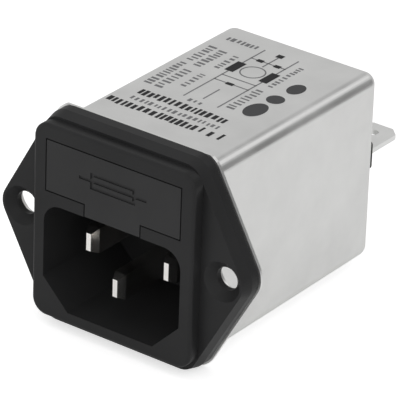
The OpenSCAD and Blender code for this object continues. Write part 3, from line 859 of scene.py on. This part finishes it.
@dataclass(frozen=True)
class SkyPatch:
    """A round patch of the studio's surroundings that is lighter or darker.

    It is full within inner degrees of its middle, and gone at outer degrees.
    """

    way: tuple[float, float, float]
    inner: float
    outer: float
    level: float

    def share(
        self, nodes: Nodes, direction: bpy.types.NodeSocket
    ) -> bpy.types.NodeSocket:
        """Works out what the patch adds in each direction.

        Args:
            nodes: the world's nodes.
            direction: the output that gives the direction.

        Returns:
            The output that gives the patch's share of the light.
        """
        along = nodes.add("ShaderNodeVectorMath", operation="DOT_PRODUCT")
        along.inputs[1].default_value = Vector(self.way).normalized()
        nodes.link(direction, along.inputs[0])
        fade = nodes.add("ShaderNodeMapRange", interpolation_type="SMOOTHSTEP")
        fade.inputs["From Min"].default_value = math.cos(math.radians(self.outer))
        fade.inputs["From Max"].default_value = math.cos(math.radians(self.inner))
        fade.inputs["To Max"].default_value = self.level
        nodes.link(along.outputs["Value"], fade.inputs["Value"])
        return fade.outputs[0]


@dataclass
class Studio:
    """The floor, the light and the camera."""

    floor_half: float = 0.16
    floor_colour: Colour = (0.78, 0.78, 0.78)
    floor_lift: float = 0.62
    floor_gloss_lift: float = 0.22
    open_level: float = 0.64
    patches: list[SkyPatch] = field(
        default_factory=lambda: [
            SkyPatch((-0.12, 0.72, 0.68), 5, 15, -0.28),
            SkyPatch((0.30, 0.72, 0.62), 5, 15, 0.45),
            SkyPatch((0.66, 0.72, 0.12), 14, 28, -0.42),
            SkyPatch(KEY_PLACE, 12, 34, -0.5),
            SkyPatch(FRONT_PLACE, 12, 32, -0.5),
            SkyPatch(TOP_PLACE, 12, 32, -0.5),
        ]
    )
    lamps: list[SoftLamp] = field(
        default_factory=lambda: [
            SoftLamp("key_lamp", KEY_PLACE, 0.6, 1.0),
            SoftLamp("front_lamp", FRONT_PLACE, 0.6, 1.0),
            SoftLamp("top_lamp", TOP_PLACE, 0.6, 0.9),
        ]
    )
    camera_place: tuple[float, float, float] = (0.29135, -0.39074, 0.25742)
    camera_right: tuple[float, float, float] = (0.80221043, 0.59618119, 0.03203774)
    camera_down: tuple[float, float, float] = (0.29672395, -0.3515521, -0.88789978)
    camera_ahead: tuple[float, float, float] = (-0.51808621, 0.72178883, -0.45892)
    lens_mm: float = 346.907
    sensor_mm: float = 36.0
    nearest: float = 0.01
    farthest: float = 20.0

    def build_floor(self) -> None:
        """Lays a plain pale floor under the object."""
        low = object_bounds()[0][2]
        mesh = bmesh.new()
        corners = [(-1, -1), (1, -1), (1, 1), (-1, 1)]
        mesh.faces.new(
            [
                mesh.verts.new((x * self.floor_half, y * self.floor_half, low))
                for x, y in corners
            ]
        )
        data = bpy.data.meshes.new("studio_floor")
        mesh.to_mesh(data)
        mesh.free()
        floor = bpy.data.objects.new("studio_floor", data)
        bpy.context.scene.collection.objects.link(floor)
        data.materials.append(self.floor_material())
        floor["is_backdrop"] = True

    def floor_material(self) -> bpy.types.Material:
        """Builds the floor's pale matt surface, lifted to white for the camera.

        Returns:
            The material.
        """
        material = bpy.data.materials.new("pale_floor")
        material.use_nodes = True
        material.node_tree.nodes.clear()
        nodes = Nodes(material.node_tree)
        matt = nodes.add("ShaderNodeBsdfDiffuse")
        matt.inputs["Color"].default_value = scaled(self.floor_colour, 1.0)
        glow = nodes.add("ShaderNodeEmission")
        rays = nodes.add("ShaderNodeLightPath")
        seen = nodes.maths("MULTIPLY", rays.outputs["Is Camera Ray"], self.floor_lift)
        lift = nodes.maths(
            "MULTIPLY_ADD", rays.outputs["Is Glossy Ray"], self.floor_gloss_lift, seen
        )
        nodes.link(lift, glow.inputs["Strength"])
        both = nodes.add("ShaderNodeAddShader")
        output = nodes.add("ShaderNodeOutputMaterial")
        nodes.link(matt.outputs[0], both.inputs[0])
        nodes.link(glow.outputs[0], both.inputs[1])
        nodes.link(both.outputs[0], output.inputs["Surface"])
        return material

    def build_world(self) -> None:
        """Surrounds the studio: white to the camera, patched with light and shade."""
        world = bpy.data.worlds.new("studio_world")
        bpy.context.scene.world = world
        world.use_nodes = True
        world.node_tree.nodes.clear()
        nodes = Nodes(world.node_tree)
        place = nodes.add("ShaderNodeTexCoord")
        level = self.open_level
        for patch in self.patches:
            share = patch.share(nodes, place.outputs["Generated"])
            level = nodes.maths("ADD", share, level)
        rays = nodes.add("ShaderNodeLightPath")
        seen = nodes.add("ShaderNodeMix", data_type="FLOAT")
        nodes.link(rays.outputs["Is Camera Ray"], seen.inputs["Factor"])
        nodes.link(level, seen.inputs["A"])
        seen.inputs["B"].default_value = 1.0
        sky = nodes.add("ShaderNodeBackground")
        sky.inputs["Color"].default_value = (1.0, 1.0, 1.0, 1.0)
        nodes.link(seen.outputs[0], sky.inputs["Strength"])
        output = nodes.add("ShaderNodeOutputWorld")
        nodes.link(sky.outputs[0], output.inputs["Surface"])

    def build_camera(self) -> None:
        """Sets the camera up in front of the object, to the right and above."""
        data = bpy.data.cameras.new("studio_camera")
        data.lens = self.lens_mm
        data.sensor_width = self.sensor_mm
        data.clip_start, data.clip_end = self.nearest, self.farthest
        camera = bpy.data.objects.new("studio_camera", data)
        bpy.context.scene.collection.objects.link(camera)
        right = Vector(self.camera_right)
        up = -Vector(self.camera_down)
        back = -Vector(self.camera_ahead)
        turn = Matrix((right, up, back)).transposed().to_4x4()
        camera.matrix_world = Matrix.Translation(self.camera_place) @ turn
        bpy.context.scene.camera = camera

    def build(self) -> None:
        """Sets up the floor, the world, the lamps and the camera."""
        self.build_floor()
        self.build_world()
        for lamp in self.lamps:
            lamp.build()
        self.build_camera()
        bpy.context.scene.view_settings.view_transform = "Standard"


def main() -> None:
    """Builds every sub-assembly and the studio, in order."""
    logging.basicConfig(level=logging.INFO, format="%(name)s: %(message)s")
    for part in (Housing(), FuseDrawer(), Connections(), FilterCircuit()):
        part.build()
        log.info("finished %s", type(part).__name__)
    Studio().build()


if __name__ == "__main__":
    main()
